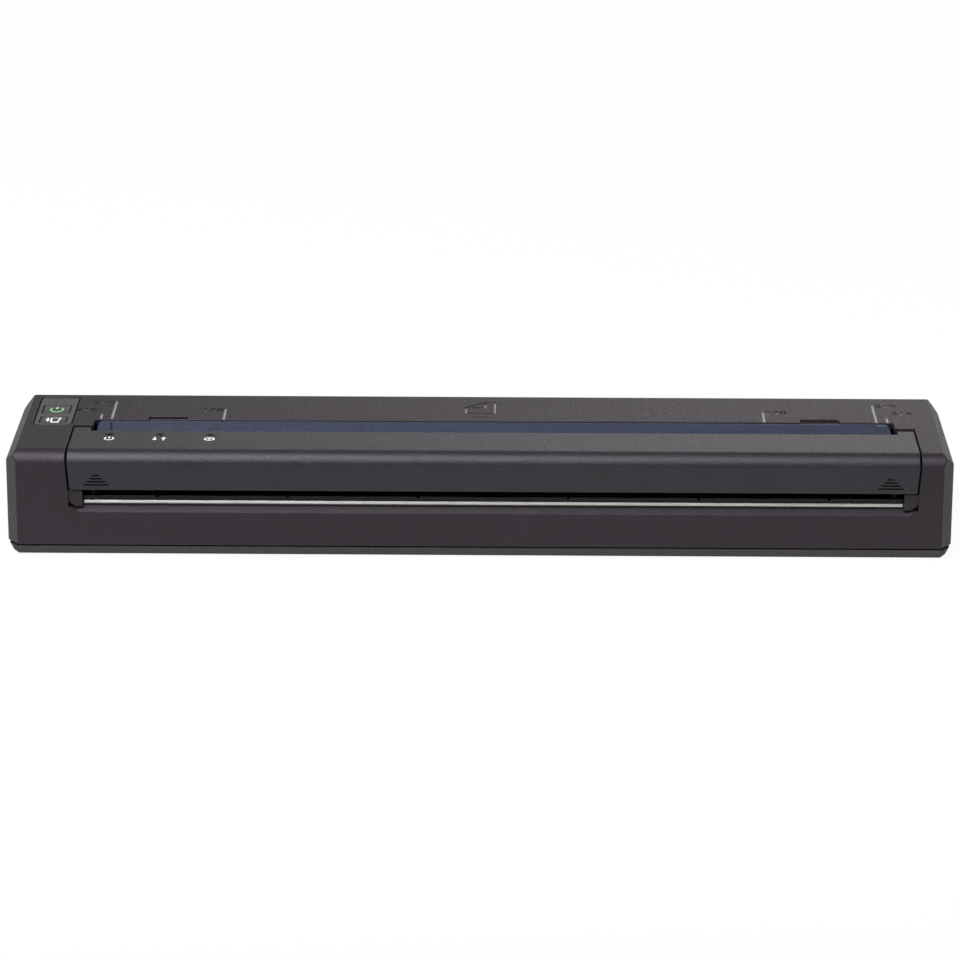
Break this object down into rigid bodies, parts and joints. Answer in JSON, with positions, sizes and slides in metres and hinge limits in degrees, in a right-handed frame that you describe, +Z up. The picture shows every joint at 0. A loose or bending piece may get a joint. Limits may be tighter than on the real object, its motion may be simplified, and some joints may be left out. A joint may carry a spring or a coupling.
{
  "type": "portable thermal printer",
  "caption": "Slim portable direct-thermal printer for A4 sheets: rear-top input slot, hinged release cover with the platen roller, front exit slot, steel tear bar and press keys.",
  "frame": {"origin": "middle of the footprint at the underside of the rubber feet", "axes": "+X to the right along the length as the keys' end is at the left, +Y to the back, +Z up; the sheet comes out towards -Y"},
  "size_m": [0.255, 0.055, 0.03],
  "materials": {
    "casing_plastic": "fine-grained satin",
    "cover_plastic": "fine-grained satin",
    "base_plastic": "fine-grained satin",
    "panel_plastic": "smooth satin",
    "key_plastic": "smooth satin",
    "guide_blue": "fine-grained satin",
    "guide_black": "smooth",
    "bar_steel": "polished",
    "steel_sheet": "zinc-plated",
    "shaft_steel": "ground",
    "screw_steel": "blackened",
    "roller_rubber": "matt",
    "foot_rubber": "matt",
    "gear_plastic": "smooth",
    "bush_plastic": "smooth",
    "head_ceramic": "glazed",
    "head_aluminium": "milled",
    "chip_cover": "resin",
    "cable_film": "smooth film",
    "motor_can": "satin",
    "board_green": "solder mask",
    "socket_black": "smooth",
    "socket_metal": "nickel-plated",
    "contact_brass": "polished",
    "battery_wrap": "shrink wrap",
    "window_clear": "clear"
  },
  "bodies": {
    "body": {"base_tray": "base_plastic", "top_casing": "casing_plastic", "hinge_pins": "shaft_steel", "paper_guide": "guide_blue", "exit_guide": "guide_black", "tear_bar": "bar_steel", "chassis": "steel_sheet", "head_substrate": "head_ceramic", "head_plate": "head_aluminium", "head_chip_cover": "chip_cover", "head_springs": "shaft_steel", "head_cable": "cable_film", "paper_sensor": "socket_black", "motor": "motor_can", "motor_screws": "screw_steel", "gear_axles": "shaft_steel", "axle_clips": "screw_steel", "main_board": "board_green", "board_parts": "socket_black", "usb_socket": "socket_metal", "dc_socket": "socket_black", "battery_pack": "battery_wrap", "battery_contacts": "contact_brass", "key_panel": "panel_plastic", "key_board": "board_green", "key_switches": "socket_black", "rubber_feet": "foot_rubber", "case_screws": "screw_steel"},
    "release_cover": {"release_cover": "cover_plastic", "roller_bracket": "steel_sheet", "bracket_screws": "screw_steel", "light_windows": "window_clear", "indicator_board": "board_green", "platen_bushes": "bush_plastic"},
    "platen": {"platen_shaft": "shaft_steel", "platen_rubber": "roller_rubber", "platen_gear": "gear_plastic"},
    "idler": {"idler_gear": "gear_plastic"},
    "reduction": {"reduction_gear": "gear_plastic"},
    "motor_rotor": {"motor_shaft": "shaft_steel", "motor_pinion": "contact_brass"},
    "battery_door": {"battery_door": "base_plastic"},
    "power_key": {"power_key": "key_plastic"},
    "feed_key": {"feed_key": "key_plastic"}
  },
  "joints": [
    {"name": "cover_hinge", "type": "hinge", "parent": "body", "child": "release_cover", "pos_m": [0.0037, -0.008, 0.0265], "axis": [-1, 0, 0], "range_deg": [0, 35]},
    {"name": "platen_spin", "type": "hinge", "parent": "release_cover", "child": "platen", "pos_m": [0.0037, -0.0135, 0.0195], "axis": [1, 0, 0], "continuous": true},
    {"name": "idler_spin", "type": "hinge", "parent": "body", "child": "idler", "pos_m": [-0.1076, -0.00103, 0.02042], "axis": [1, 0, 0], "continuous": true},
    {"name": "reduction_spin", "type": "hinge", "parent": "body", "child": "reduction", "pos_m": [-0.1087, 0.00545, 0.0128], "axis": [1, 0, 0], "continuous": true},
    {"name": "motor_spin", "type": "hinge", "parent": "body", "child": "motor_rotor", "pos_m": [-0.108, 0.01587, 0.0115], "axis": [1, 0, 0], "continuous": true},
    {"name": "battery_door_hinge", "type": "hinge", "parent": "body", "child": "battery_door", "pos_m": [0.019, 0.0215, 0.0014], "axis": [1, 0, 0], "range_deg": [0, 100]},
    {"name": "power_key_press", "type": "slide", "parent": "body", "child": "power_key", "axis": [0, 0, -1], "range_m": [0, 0.0005], "stiffness_N_per_m": 2000},
    {"name": "feed_key_press", "type": "slide", "parent": "body", "child": "feed_key", "axis": [0, 0, -1], "range_m": [0, 0.0005], "stiffness_N_per_m": 2000}
  ],
  "couplings": [
    {"joint": "idler_spin", "follows": "platen_spin", "ratio": -0.92308},
    {"joint": "reduction_spin", "follows": "platen_spin", "ratio": 1.7143},
    {"joint": "motor_spin", "follows": "platen_spin", "ratio": -4.2857}
  ]
}
